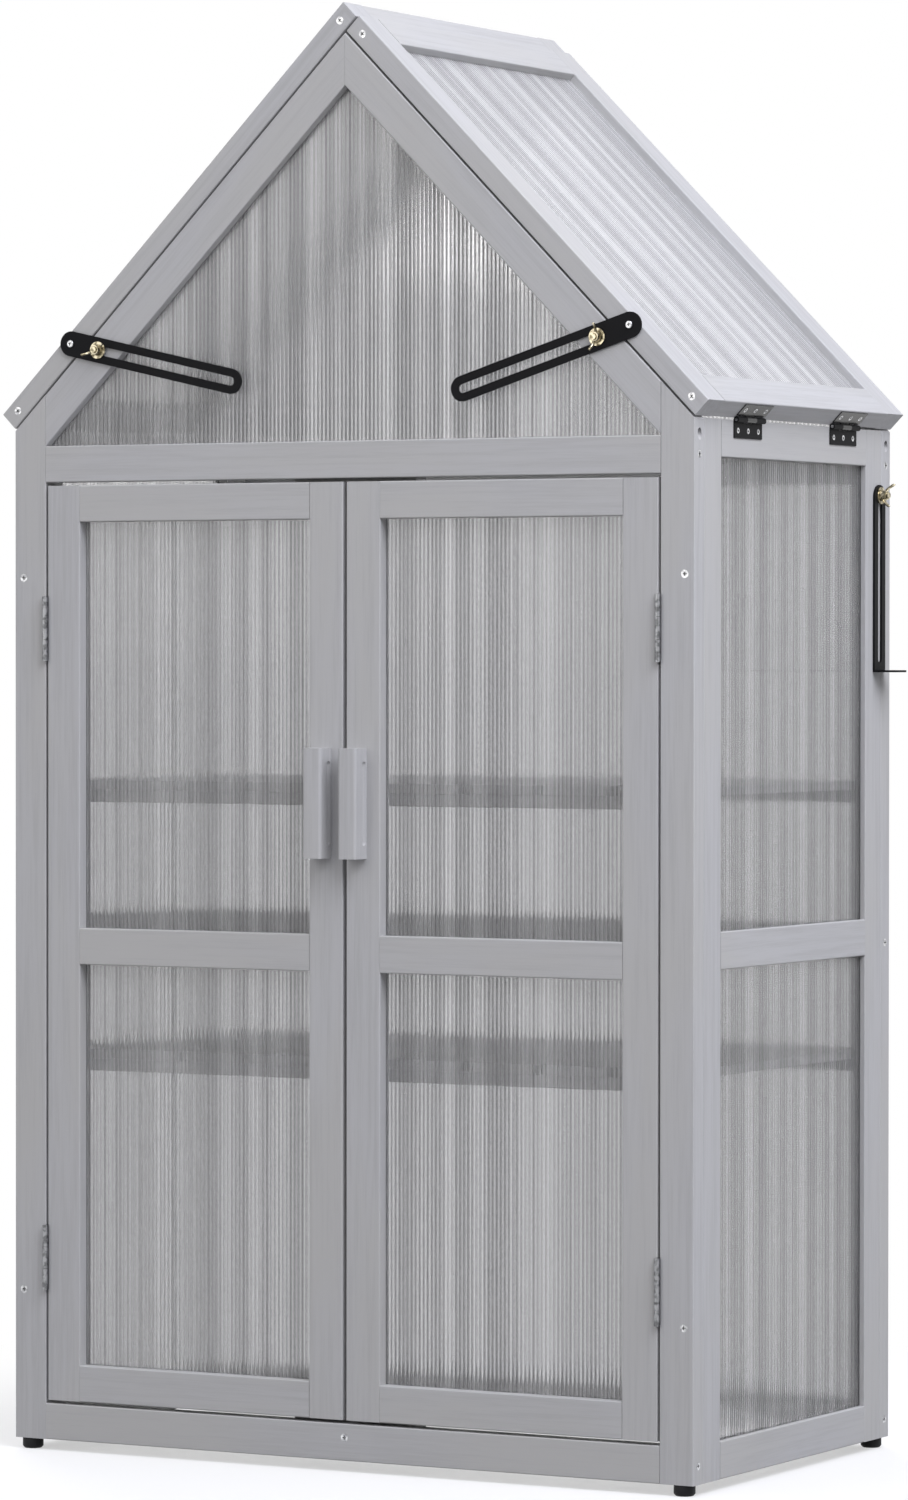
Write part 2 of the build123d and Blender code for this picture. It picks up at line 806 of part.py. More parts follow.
with BuildPart() as clamp_bolts:
    sunk = Location((0, 0, -board_thick))
    place(clamp_bolt.part, [stay_spot(side) * sunk for side in sides])
    place(clamp_bolt.part, [tie_spot(side) * sunk for side in sides])
keep("clamp_bolts", clamp_bolts)

with BuildPart() as washer:
    with Locations((0, 0, washer_out)):
        Cylinder(washer_radius, washer_thick, align=standing)
        Cylinder(bolt_radius + fit_gap, washer_thick, align=standing, mode=Mode.SUBTRACT)

with BuildPart() as wing_nut:
    with Locations((0, 0, nut_out)):
        Cone(nut_radius, nut_neck_radius, nut_height, align=standing)
    wing_top = nut_height + wing_rise
    for sign in sides.values():
        with BuildSketch(Plane((0, 0, nut_out), x_dir=(1, 0, 0), z_dir=(0, -1, 0))) as wing:
            with BuildLine():
                Polyline(
                    (sign * bolt_radius, wing_foot),
                    (sign * nut_radius, wing_foot),
                    (sign * wing_reach, nut_height),
                    (sign * wing_reach, wing_top),
                    (sign * (wing_reach - wing_tip), wing_top),
                    (sign * bolt_radius, nut_height),
                    close=True,
                )
            make_face()
            fillet(wing.vertices().group_by(Axis.Y)[-1], wing_round)
        extrude(amount=wing_thick / 2, both=True)
    Cylinder(bolt_radius + pin_gap, bolt_out + wing_rise, align=standing, mode=Mode.SUBTRACT)

for side in sides:
    for clamp, bolt_spot in ((f"{side}_stay", stay_spot(side)), (f"{side}_tie", tie_spot(side))):
        with BuildPart() as clamp_washer:
            place(washer.part, [bolt_spot])
        keep(f"{clamp}_washer", clamp_washer)
        with BuildPart() as clamp_nut:
            place(wing_nut.part, [bolt_spot * Location((0, 0, 0), (0, 0, wing_turn[clamp]))])
        keep(f"{clamp}_wing_nut", clamp_nut)

# Stay arms, from the pivot on the roof's rake rail across the clamp bolt
for side, sign in sides.items():
    pivot, bolt = stay_points(side)
    span = hypot(pivot[0] - bolt[0], pivot[1] - bolt[1])
    origin = front_face.from_local_coords((sign * pivot[0], pivot[1], arm_out))
    along = (sign * (bolt[0] - pivot[0]), 0, bolt[1] - pivot[1])
    arm_face = Plane(origin, x_dir=along, z_dir=front_face.z_dir)
    arm_end = stay_slot_end + stay_end_margin - arm_width / 2
    slot_start = span - slot_play
    slot_end = stay_slot_end - slot_width / 2

    with BuildPart() as arm:
        with BuildSketch(arm_face):
            with Locations((arm_end / 2, 0)):
                SlotCenterToCenter(arm_end, arm_width)
            with Locations(((slot_start + slot_end) / 2, 0)):
                SlotCenterToCenter(slot_end - slot_start, slot_width, mode=Mode.SUBTRACT)
            Circle(pivot_screw_shank_radius + fit_gap, mode=Mode.SUBTRACT)
        extrude(amount=-arm_thick)
    keep(f"{side}_stay_arm", arm)

    with BuildPart() as pivot_screw:
        with Locations(arm_face.location):
            Cylinder(pivot_screw_head_radius, pivot_screw_head_height, align=standing)
            Cylinder(pivot_screw_shank_radius, arm_thick, align=hanging)
        fillet(pivot_screw.edges().group_by(Axis.Y)[0], pivot_screw_round)
        for turn in (0, 90):
            with Locations(arm_face.location * Location((0, 0, pivot_screw_head_height), (0, 0, turn))):
                Box(pivot_screw_head_radius, recess_width, 2 * recess_depth, mode=Mode.SUBTRACT)
    keep(f"{side}_stay_pivot_screw", pivot_screw)

# Wall-tie arms, hanging from their clamp bolts, with a tab turned out at the lower end
for side in sides:
    bolt_spot = tie_spot(side)
    slot_top = slot_play
    top = slot_top + slot_width / 2 + tie_end_margin
    low = top - tie_length
    slot_low = low + tie_slot_margin + slot_width / 2
    arm_face = Plane(bolt_spot).offset(arm_out)

    with BuildPart() as arm:
        with BuildSketch(arm_face):
            with Locations((0, (top + low - arm_width / 2) / 2)):
                Rectangle(arm_width, top - low - arm_width / 2)
            with Locations((0, top - arm_width / 2)):
                Circle(arm_width / 2)
            with Locations((0, (slot_top + slot_low) / 2)):
                SlotCenterToCenter(slot_top - slot_low, slot_width, rotation=90, mode=Mode.SUBTRACT)
        extrude(amount=-arm_thick)
        board(arm_face, -arm_width / 2, arm_width / 2, low, low + arm_thick,
              tab_length, arm_thick - tab_length)
        tab_corners = arm.edges().filter_by(Axis.Z).sort_by(Axis.X)
        fillet(tab_corners[-2:] if sides[side] > 0 else tab_corners[:2], tab_round)
        with Locations(arm_face.location * Location((0, low, tab_hole_out - arm_thick))):
            Cylinder(tab_hole_radius, 4 * arm_thick, rotation=(90, 0, 0), mode=Mode.SUBTRACT)
    keep(f"{side}_tie_arm", arm)

os.makedirs("parts", exist_ok=True)
for name, piece in nodes.items():
    export_step(piece, f"parts/{name}.step")
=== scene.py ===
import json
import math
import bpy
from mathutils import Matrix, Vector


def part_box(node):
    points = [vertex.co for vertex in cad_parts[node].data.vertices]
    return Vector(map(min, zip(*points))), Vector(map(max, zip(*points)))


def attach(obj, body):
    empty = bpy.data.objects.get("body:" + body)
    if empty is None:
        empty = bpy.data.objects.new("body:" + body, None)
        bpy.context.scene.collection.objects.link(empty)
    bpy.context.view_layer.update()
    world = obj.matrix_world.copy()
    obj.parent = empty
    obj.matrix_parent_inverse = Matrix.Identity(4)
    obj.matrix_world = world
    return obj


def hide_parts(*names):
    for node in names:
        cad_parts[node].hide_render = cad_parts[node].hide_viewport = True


bl_info = {
    "name": "Mini Greenhouse",
    "version": (1, 0, 0),
    "blender": (4, 5, 0),
    "location": "3D View > Sidebar > Greenhouse",
    "description": "Finishes a mini greenhouse and sets it on a pale studio stage",
    "category": "Object",
}

import bpy
from mathutils import Matrix, Vector

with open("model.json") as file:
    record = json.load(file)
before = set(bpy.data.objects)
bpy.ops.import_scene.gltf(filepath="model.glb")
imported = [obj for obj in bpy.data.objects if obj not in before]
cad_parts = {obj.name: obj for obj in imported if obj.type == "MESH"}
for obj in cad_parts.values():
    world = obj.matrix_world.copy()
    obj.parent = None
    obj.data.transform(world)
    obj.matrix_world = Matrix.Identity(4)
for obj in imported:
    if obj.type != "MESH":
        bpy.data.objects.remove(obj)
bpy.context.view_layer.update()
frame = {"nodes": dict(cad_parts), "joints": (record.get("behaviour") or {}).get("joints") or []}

SIDES = ("left", "right")
SLOPE = math.radians(45)

ROUND_SIDES = 48
# Least cosine between a direction and the normal of a face that looks that way
FACING = 0.9

# Turns that lay a board's grain along Z: up, along the front, front to back,
# and up the roof's slope
GRAINS = {
    "up": (0, 0, 0),
    "across": (0, math.radians(90), 0),
    "deep": (math.radians(90), 0, 0),
    "slope": (0, SLOPE, 0),
}

BOARDS = {
    "front_post_left": "up",
    "front_post_right": "up",
    "back_post_left": "up",
    "back_post_right": "up",
    "front_header": "across",
    "front_sill": "across",
    "back_rails": "across",
    "side_stiles": "up",
    "side_rails": "deep",
    "front_rafters": "slope",
    "back_rafters": "slope",
    "door_stops": "across",
    "shelf_bearers": "across",
    "shelf_slats": "deep",
}
DOOR_BOARDS = {"door_stiles": "up", "door_rails": "across", "door_handle": "up"}
ROOF_BOARDS = {"roof_rakes": "slope", "roof_cross_rails": "deep"}
# How far the grain is shifted from one board to the next, so that no two are alike
BOARD_SHIFT = (0.37, 0.61, 0.83)

# The direction through each sheet and the direction across its flutes,
# on the right half of the greenhouse
FRONT_SHEET = ((0, 1, 0), (1, 0, 0))
SIDE_SHEET = ((1, 0, 0), (0, 1, 0))
ROOF_SHEET = ((math.sin(SLOPE), 0, math.cos(SLOPE)), (0, 1, 0))
SHEETS = {
    "front_gable_panel": FRONT_SHEET,
    "back_gable_panel": FRONT_SHEET,
    "back_panels": FRONT_SHEET,
    "left_door_panels": FRONT_SHEET,
    "right_door_panels": FRONT_SHEET,
    "side_panels": SIDE_SHEET,
    "left_roof_panel": ROOF_SHEET,
    "right_roof_panel": ROOF_SHEET,
}
FLUTE_PITCH = 0.0065
SHEET_IOR = 1.4
# What lies farther than this share of a sheet's thickness from its middle is the outside of a skin
SKIN_SHARE = 0.42
# Most see-through faces that a ray may pass, since each channel of a sheet has several
SHEET_BOUNCES = 32

# Scale of the fine grain of the coat and the plastic, and its depth
COAT_GRAIN = 1800.0
PLASTIC_GRAIN = 900.0
GRAIN_DEPTH = 0.00004

# A wing of a nut: its root, then each step outward with the growth of its height there
WING_ROOT_LENGTH = 0.002
WING_ROOT_HEIGHT = 0.0042
WING_ROOT_PLACE = (0.0042, 0, 0.0036)
WING_STEPS = (
    ((0.0026, 0, 0.0014), 0.95),
    ((0.0022, 0, 0.0026), 1.15),
    ((0.0016, 0, 0.0018), 1.10),
    ((0.0014, 0, 0.0008), 0.70),
)
BORE_LENGTH = 0.04

# Radius of the rounded edges, and the angle from which an edge is rounded
NUT_ROUND = (0.00025, math.radians(40))
FOOT_ROUND = (0.0006, math.radians(25))
# Width of the ring around the hollow in a foot's sole, as a share of the rim's radius
SOLE_RING = 0.3

FLOOR_SIDES = 96
FLOOR_RADIUS = 30
# The floor fades to white between these distances from its middle, from this share of white
FLOOR_FADE = (0.4, 1.0)
FLOOR_WHITE = 0.5

# Place and tint of each lamp
LAMPS = {
    "key": ((2.6, -1.2, 3.6), (0.92, 0.93, 1.0)),
    "fill": ((-1.4, -4.2, 2.2), (1.0, 0.975, 0.94)),
    "back": ((-2.8, 3.4, 2.8), (1.0, 0.98, 0.96)),
}
LAMP_WIDTH = 3.0
LAMP_TARGET = (0, 0, 0.7)
SENSOR_WIDTH = 36
FARTHEST_SEEN = 200


class Value:
    """An output of a node. Sums and products of values add Math nodes to its material."""

    def __init__(self, finish, socket):
        self.finish = finish
        self.socket = socket

    def output(self, name):
        """Another output of the same node."""
        return Value(self.finish, self.socket.node.outputs[name])

    def math(self, operation, *values):
        """A Math node on one or two values."""
        return self.finish.node("ShaderNodeMath", {"operation": operation}, dict(enumerate(values)))

    def __add__(self, other):
        return self.math("ADD", self, other)

    def __radd__(self, other):
        return self.math("ADD", other, self)

    def __sub__(self, other):
        return self.math("SUBTRACT", self, other)

    def __rsub__(self, other):
        return self.math("SUBTRACT", other, self)

    def __mul__(self, other):
        return self.math("MULTIPLY", self, other)

    def __rmul__(self, other):
        return self.math("MULTIPLY", other, self)

    def __gt__(self, other):
        return self.math("GREATER_THAN", self, other)

    def __lt__(self, other):
        return self.math("LESS_THAN", self, other)

    def __abs__(self):
        return self.math("ABSOLUTE", self)


class Finish:
    """A material, or the world's shader, and the nodes that it is made of."""

    def __init__(self, owner):
        owner.use_nodes = True
        self.owner = owner
        self.tree = owner.node_tree
        self.tree.nodes.clear()

    def node(self, kind, settings=None, inputs=None, output=0):
        """Adds a node, makes its settings and sets or links its sockets. Gives an output."""
        made = self.tree.nodes.new(kind)
        for key, setting in (settings or {}).items():
            setattr(made, key, setting)
        for key, value in (inputs or {}).items():
            if isinstance(value, Value):
                self.tree.links.new(value.socket, made.inputs[key])
            else:
                made.inputs[key].default_value = value
        return Value(self, made.outputs[output]) if made.outputs else None

    def place(self):
        """The place on the piece, in metres from the middle of the greenhouse's floor."""
        return self.node("ShaderNodeTexCoord", output="Object")

    def mirrored(self):
        """The same place, with the left half of the greenhouse folded onto the right half."""
        spot = self.node("ShaderNodeSeparateXYZ", inputs={0: self.place()})
        return self.node(
            "ShaderNodeCombineXYZ",
            inputs={"X": abs(spot), "Y": spot.output("Y"), "Z": spot.output("Z")},
        )

    def turned(self, vector, turn=(0, 0, 0), shift=(0, 0, 0), stretch=(1, 1, 1)):
        """A place that is scaled, turned and shifted."""
        inputs = {"Vector": vector, "Location": shift, "Rotation": turn, "Scale": stretch}
        return self.node("ShaderNodeMapping", inputs=inputs)

    def along(self, vector, direction):
        """How far a place lies along a direction."""
        inputs = {0: vector, 1: direction}
        return self.node("ShaderNodeVectorMath", {"operation": "DOT_PRODUCT"}, inputs, "Value")

    def noise(self, vector, scale, detail=2.0, roughness=0.5):
        """Soft noise from 0 to 1."""
        inputs = {"Vector": vector, "Scale": scale, "Detail": detail, "Roughness": roughness}
        return self.node("ShaderNodeTexNoise", inputs=inputs)

    def ramp(self, value, low, high, start=0.0, end=1.0):
        """Start below low, end above high and a smooth change between them."""
        inputs = {"Value": value, "From Min": low, "From Max": high, "To Min": start, "To Max": end}
        return self.node("ShaderNodeMapRange", {"interpolation_type": "SMOOTHSTEP"}, inputs)

    def blend(self, share, first, second):
        """The first colour where share is 0 and the second where it is 1."""
        return self.node("ShaderNodeMix", {"data_type": "RGBA"}, {0: share, 6: first, 7: second}, 2)

    def bump(self, height, depth, strength=1.0):
        """A normal for small hollows and ridges, depth metres high."""
        inputs = {"Height": height, "Distance": depth, "Strength": strength}
        return self.node("ShaderNodeBump", inputs=inputs)

    def surface(self, inputs):
        """Closes the material with its shader."""
        shader = self.node("ShaderNodeBsdfPrincipled", inputs=inputs)
        self.node("ShaderNodeOutputMaterial", inputs={"Surface": shader})
        return self.owner


def colour(rgb):
    """A colour property as a socket takes it."""
    return (*rgb, 1.0)


def new_finish(name):
    """An empty material."""
    return Finish(bpy.data.materials.new(name))


def paint(node, material):
    """Gives a solid of the frame a better finish."""
    slots = frame["nodes"][node].material_slots
    if not slots:
        raise RuntimeError(f"{node} has no material slot")
    for slot in slots:
        slot.material = material


def timber_finish(name, grain, seed, look):
    """Grey-washed softwood with its grain along a board."""
    finish = new_finish(name)
    shift = tuple(step * seed for step in BOARD_SHIFT)
    point = finish.turned(finish.mirrored(), GRAINS[grain], shift)
    drawn_out = finish.turned(point, stretch=(1, 1, look.grain_stretch))
    fibres = finish.noise(drawn_out, 1 / look.fibre_width, 3.0, 0.6)
    streaks = finish.noise(drawn_out, 1 / look.streak_width, 3.0, 0.55)
    clouds = finish.noise(finish.turned(point, stretch=(1, 1, 0.3)), 1 / look.cloud_width, 3.0)
    drawn_cells = finish.turned(point, stretch=(1, 1, 0.6))
    cells = finish.node(
        "ShaderNodeTexVoronoi", inputs={"Vector": drawn_cells, "Scale": 1 / look.knot_spacing}
    )
    drawn = finish.node("ShaderNodeSeparateColor", inputs={0: cells.output("Color")})
    knot = finish.ramp(cells, 0.02, 0.09, 1.0, 0.0) * (drawn < look.knot_share)
    tone = 0.3 * fibres + 0.45 * streaks + 0.25 * clouds
    wash = finish.blend(finish.ramp(clouds, 0.35, 0.65), colour(look.cool), colour(look.warm))
    grained = finish.blend(finish.ramp(tone, 0.56, 0.36, 0.0, 0.6), wash, colour(look.dark))
    return finish.surface({
        "Base Color": finish.blend(0.65 * knot, grained, colour(look.knot)),
        "Roughness": 0.68 - 0.14 * streaks,
        "Specular IOR Level": 0.3,
        "Normal": finish.bump(0.6 * fibres + 0.4 * streaks, look.relief, 0.5),
    })


def sheet_spread(node, through):
    """Nearest and farthest distance of a sheet's faces along the direction through it."""
    distances = [
        abs(vertex.co.x) * through[0] + vertex.co.y * through[1] + vertex.co.z * through[2]
        for vertex in frame["nodes"][node].data.vertices
    ]
    return min(distances), max(distances)


def rib_place(node, across, pitch):
    """Where a sheet's ribs stand along the direction across its flutes, less whole flutes."""
    turns = [
        math.tau * (abs(face.center.x) * across[0] + face.center.y * across[1]) / pitch
        for face in frame["nodes"][node].data.polygons
        if abs(face.normal.dot(Vector(across))) > FACING
    ]
    middle = math.atan2(sum(map(math.sin, turns)), sum(map(math.cos, turns)))
    return pitch * middle / math.tau


def sheet_finish(name, node, through, across, look, clearness):
    """Twin-wall sheet: rippled skins that blur sideways, with clear channels and ribs."""
    finish = new_finish(name)
    near, far = sheet_spread(node, through)
    point = finish.mirrored()
    depth = abs(finish.along(point, through) - (near + far) / 2)
    skin = depth > SKIN_SHARE * (far - near)
    facing = finish.node("ShaderNodeTexCoord", output="Normal")
    rib = abs(finish.along(facing, across)) > 0.5
    spot = finish.along(point, across) - rib_place(node, across, look.flute_pitch)
    width = finish.node("ShaderNodeCombineXYZ", inputs={"X": spot})
    # Painted light: bright and dark lines along the flutes, at two thirds of the flute pitch, stand
    # in for the highlights and dark refractions that the flutes make; the uneven noise paints some
    # flutes darker and others brighter
    wave = spot.math("COSINE", spot * (math.tau / look.line_pitch))
    uneven = finish.noise(finish.turned(width, shift=(3, 7, 5)), 0.5 / look.flute_pitch)
    streaks = finish.noise(width, 1 / look.line_width, 2.0, 0.7)
    crests = finish.ramp(wave + 1.2 * streaks, 0.8, 1.35)
    # Painted dark refraction lines along the crests of the wave, and painted darker flutes
    painted_line_shade = crests * finish.ramp(uneven, 0.25, 0.6, 0.35, 1.0)
    dull = finish.ramp(uneven, 0.35, 0.65, 0.0, 0.4)
    dark = painted_line_shade.math("MAXIMUM", painted_line_shade, dull)
    troughs = finish.ramp(1.2 * streaks - wave, 0.9, 1.4)
    # Painted highlights along the troughs of the wave
    bright = troughs * finish.ramp(uneven, 0.65, 0.4, 0.2, 1.0)
    shaded = finish.blend(dark, colour(look.tint), colour(look.painted_dark_line))
    inner = rib * look.rib_haze + (1 - rib) * look.channel_haze
    return finish.surface({
        "Base Color": finish.blend(bright, shaded, colour(look.painted_bright_line)),
        "Roughness": look.roughness,
        "IOR": SHEET_IOR,
        "Transmission Weight": clearness,
        "Alpha": skin + (1 - skin) * inner,
        "Normal": finish.bump(wave * (0.4 + 1.2 * uneven), look.ripple),
    })


def powder_coat_finish(name, look, gloss, roughness):
    """Black powder coat on steel."""
    finish = new_finish(name)
    grit = finish.noise(finish.place(), COAT_GRAIN, 2.0)
    return finish.surface({
        "Base Color": colour(look.black),
        "Roughness": roughness + 0.15 * grit,
        "Specular IOR Level": gloss,
        "Normal": finish.bump(grit, GRAIN_DEPTH, 0.3),
    })


def plated_finish(name, light, dark, look):
    """Plated steel with a mottle that is partly patches in the zinc and partly painted dark
    reflections, and with painted shade in its hollows.
    """
    finish = new_finish(name)
    # The mottle blends the light and dark colours. It is partly patches in the plated coat and
    # partly painted dark reflections of the surroundings, and it also varies the roughness.
    mottle = finish.noise(finish.place(), 1 / look.mottle_width, 3.0)
    plating_and_reflections = finish.blend(finish.ramp(mottle, 0.4, 0.6), colour(dark), colour(light))
    # Painted shade: the base colour darkens towards near black where ambient occlusion finds a
    # hollow closed in, as in the recesses of the screws and the crevices of the nuts
    open_sky = finish.node(
        "ShaderNodeAmbientOcclusion", inputs={"Distance": look.painted_shade_reach}, output="AO"
    )
    painted_shade = finish.ramp(open_sky, 0.3, 0.85, 1.0, 0.0)
    return finish.surface({
        "Base Color": finish.blend(painted_shade, plating_and_reflections, colour(look.painted_shade)),
        "Metallic": 1.0,
        "Roughness": 0.2 + 0.2 * mottle,
    })


def plastic_finish(name, look):
    """Black moulded plastic."""
    finish = new_finish(name)
    grain = finish.noise(finish.place(), PLASTIC_GRAIN, 2.0)
    return finish.surface({
        "Base Color": colour(look.plastic),
        "Roughness": 0.45 + 0.2 * grain,
        "Specular IOR Level": 0.2,
        "Normal": finish.bump(grain, GRAIN_DEPTH, 0.3),
    })


def select_only(piece):
    """Selects one piece and makes it the active one."""
    bpy.ops.object.select_all(action="DESELECT")
    piece.select_set(True)
    bpy.context.view_layer.objects.active = piece


def start_edit(piece):
    """Opens a piece for editing with nothing selected."""
    select_only(piece)
    bpy.ops.object.mode_set(mode="EDIT")
    bpy.ops.mesh.select_mode(type="FACE")
    bpy.ops.mesh.select_all(action="DESELECT")
    bpy.ops.object.mode_set(mode="OBJECT")


def pick_faces(piece, wanted):
    """Selects the faces of a piece that pass a test, and opens it for editing."""
    start_edit(piece)
    for face in piece.data.polygons:
        face.select = wanted(face)
    bpy.ops.object.mode_set(mode="EDIT")


def close_edit():
    """Closes the piece that is open for editing."""
    bpy.ops.object.mode_set(mode="OBJECT")


def apply_place(piece):
    """Puts a piece's place, turn and scale into its mesh."""
    select_only(piece)
    bpy.ops.object.transform_apply(location=True, rotation=True, scale=True)


def apply_modifier(piece, kind, **settings):
    """Adds a modifier with its settings and applies it."""
    modifier = piece.modifiers.new(kind.title(), kind)
    for key, setting in settings.items():
        setattr(modifier, key, setting)
    bpy.context.view_layer.objects.active = piece
    bpy.ops.object.modifier_apply(modifier=modifier.name)


def join_solids(piece, other, operation):
    """Unites a piece with another one, or cuts the other out of it, and removes the other."""
    apply_modifier(piece, "BOOLEAN", object=other, operation=operation, solver="EXACT")
    bpy.data.objects.remove(other, do_unlink=True)


def round_off(piece, radius, angle):
    """Rounds a piece's sharp edges and shades the rest smooth."""
    apply_modifier(
        piece, "BEVEL", width=radius, segments=3, limit_method="ANGLE", angle_limit=angle
    )
    select_only(piece)
    bpy.ops.object.shade_smooth_by_angle(angle=angle)


def copy_of(piece, name):
    """A copy of a piece with a mesh of its own."""
    select_only(piece)
    bpy.ops.object.duplicate(linked=False)
    copied = bpy.context.object
    copied.name = name
    copied.data.name = name
    return copied


class TimberLook(bpy.types.PropertyGroup):
    """Looks of the grey-washed softwood."""

    cool: bpy.props.FloatVectorProperty(
        name="Cool Wash", description="Colour of the bluer patches of the grey wash",
        default=(0.50, 0.50, 0.51), size=3, subtype="COLOR", min=0, max=1,
    )
    warm: bpy.props.FloatVectorProperty(
        name="Warm Wash", description="Colour of the browner patches of the grey wash",
        default=(0.49, 0.486, 0.479), size=3, subtype="COLOR", min=0, max=1,
    )
    dark: bpy.props.FloatVectorProperty(
        name="Dark Grain", description="Colour of the late wood that shows through the wash",
        default=(0.415, 0.413, 0.413), size=3, subtype="COLOR", min=0, max=1,
    )
    knot: bpy.props.FloatVectorProperty(
        name="Knots", description="Colour of the knots",
        default=(0.27, 0.265, 0.26), size=3, subtype="COLOR", min=0, max=1,
    )
    fibre_width: bpy.props.FloatProperty(
        name="Fibre Width", description="Width of the finest lines of the grain",
        default=0.0011, min=0.0002, unit="LENGTH",
    )
    streak_width: bpy.props.FloatProperty(
        name="Streak Width", description="Width of the broad streaks of the grain",
        default=0.005, min=0.001, unit="LENGTH",
    )
    cloud_width: bpy.props.FloatProperty(
        name="Cloud Width", description="Size of the soft changes of tone over a board",
        default=0.09, min=0.01, unit="LENGTH",
    )
    grain_stretch: bpy.props.FloatProperty(
        name="Grain Stretch", description="Width of the streaks as a share of their length",
        default=0.03, min=0.005, max=1, subtype="FACTOR",
    )
    knot_spacing: bpy.props.FloatProperty(
        name="Knot Spacing", description="Distance between two places that may hold a knot",
        default=0.1, min=0.02, unit="LENGTH",
    )
    knot_share: bpy.props.FloatProperty(
        name="Knot Share", description="Share of those places that hold a knot",
        default=0.22, min=0, max=1, subtype="FACTOR",
    )
    relief: bpy.props.FloatProperty(
        name="Relief", description="Depth of the grain's hollows",
        default=0.00006, min=0, unit="LENGTH",
    )


class SheetLook(bpy.types.PropertyGroup):
    """Looks of the milky twin-wall sheet."""

    tint: bpy.props.FloatVectorProperty(
        name="Tint", description="Colour of the sheet's skins",
        default=(0.92, 0.92, 0.93), size=3, subtype="COLOR", min=0, max=1,
    )
    # Painted dark refraction lines along the flutes
    painted_dark_line: bpy.props.FloatVectorProperty(
        name="Dark Line", description="Colour of the dark lines along the flutes",
        default=(0.40, 0.40, 0.405), size=3, subtype="COLOR", min=0, max=1,
    )
    # Painted highlights along the flutes
    painted_bright_line: bpy.props.FloatVectorProperty(
        name="Bright Line", description="Colour of the bright lines along the flutes",
        default=(0.98, 0.98, 0.98), size=3, subtype="COLOR", min=0, max=1,
    )
    clearness: bpy.props.FloatProperty(
        name="Clearness", description="Share of the light that passes the front and back sheets",
        default=0.84, min=0, max=1, subtype="FACTOR",
    )
    side_clearness: bpy.props.FloatProperty(
        name="Side Clearness", description="Share of the light that passes the sides' sheets",
        default=0.92, min=0, max=1, subtype="FACTOR",
    )
    roof_clearness: bpy.props.FloatProperty(
        name="Roof Clearness", description="Share of the light that passes the roof's sheets",
        default=0.43, min=0, max=1, subtype="FACTOR",
    )
    flute_pitch: bpy.props.FloatProperty(
        name="Flute Pitch", description="Distance from one flute to the next",
        default=FLUTE_PITCH, min=0.001, unit="LENGTH",
    )
    ripple: bpy.props.FloatProperty(
        name="Ripple", description="Depth of the skins' ripples along the flutes",
        default=0.0002, min=0, unit="LENGTH",
    )
    line_pitch: bpy.props.FloatProperty(
        name="Line Pitch", description="Distance from one line along the flutes to the next",
        default=FLUTE_PITCH * 2 / 3, min=0.001, unit="LENGTH",
    )
    line_width: bpy.props.FloatProperty(
        name="Line Width", description="Width of the fine lines along the flutes",
        default=0.0024, min=0.0005, unit="LENGTH",
    )
    channel_haze: bpy.props.FloatProperty(
        name="Channel Haze", description="How opaque each face inside the channels is",
        default=0.02, min=0, max=1, subtype="FACTOR",
    )
    rib_haze: bpy.props.FloatProperty(
        name="Rib Haze", description="How opaque each side of a rib is",
        default=0.3, min=0, max=1, subtype="FACTOR",
    )
    roughness: bpy.props.FloatProperty(
        name="Roughness", description="How dull the sheet's gloss is",
        default=0.08, min=0, max=1, subtype="FACTOR",
    )


class FittingLook(bpy.types.PropertyGroup):
    """Looks of the metal and plastic fittings."""

    black: bpy.props.FloatVectorProperty(
        name="Black Coat", description="Colour of the coated arms and roof hinges",
        default=(0.008, 0.008, 0.009), size=3, subtype="COLOR", min=0, max=1,
    )
    plastic: bpy.props.FloatVectorProperty(
        name="Plastic", description="Colour of the feet",
        default=(0.008, 0.008, 0.009), size=3, subtype="COLOR", min=0, max=1,
    )
    zinc: bpy.props.FloatVectorProperty(
        name="Zinc", description="Colour of the screws and door hinges",
        default=(0.72, 0.725, 0.74), size=3, subtype="COLOR", min=0, max=1,
    )
    # Partly duller patches of the zinc and partly painted dark reflections
    zinc_dull_and_reflection: bpy.props.FloatVectorProperty(
        name="Dull Zinc", description="Colour of the duller patches of the zinc",
        default=(0.34, 0.345, 0.36), size=3, subtype="COLOR", min=0, max=1,
    )
    # Dark patches of the door hinges, partly duller zinc and partly painted dark reflections
    hinge: bpy.props.FloatVectorProperty(
        name="Hinge Zinc", description="Colour of the dullest patches of the door hinges",
        default=(0.16, 0.162, 0.17), size=3, subtype="COLOR", min=0, max=1,
    )
    yellow_zinc: bpy.props.FloatVectorProperty(
        name="Yellow Zinc", description="Colour of the wing nuts, washers and bolts",
        default=(0.70, 0.63, 0.46), size=3, subtype="COLOR", min=0, max=1,
    )
    # Partly duller patches of the yellow zinc and partly painted dark reflections
    yellow_dull_and_reflection: bpy.props.FloatVectorProperty(
        name="Dull Yellow Zinc", description="Colour of the duller patches of the yellow zinc",
        default=(0.20, 0.175, 0.115), size=3, subtype="COLOR", min=0, max=1,
    )
    # Painted shade in the hollows of the screws and nuts, and how far from a hollow's walls it
    # reaches
    painted_shade: bpy.props.FloatVectorProperty(
        name="Painted Shade", description="Colour of the hollows of the screws and nuts",
        default=(0.03, 0.029, 0.027), size=3, subtype="COLOR", min=0, max=1,
    )
    painted_shade_reach: bpy.props.FloatProperty(
        name="Grime Reach", description="How far from a hollow's walls the grime reaches",
        default=0.003, min=0.0001, unit="LENGTH",
    )
    mottle_width: bpy.props.FloatProperty(
        name="Mottle Width", description="Size of the patches of the plating",
        default=0.004, min=0.0005, unit="LENGTH",
    )


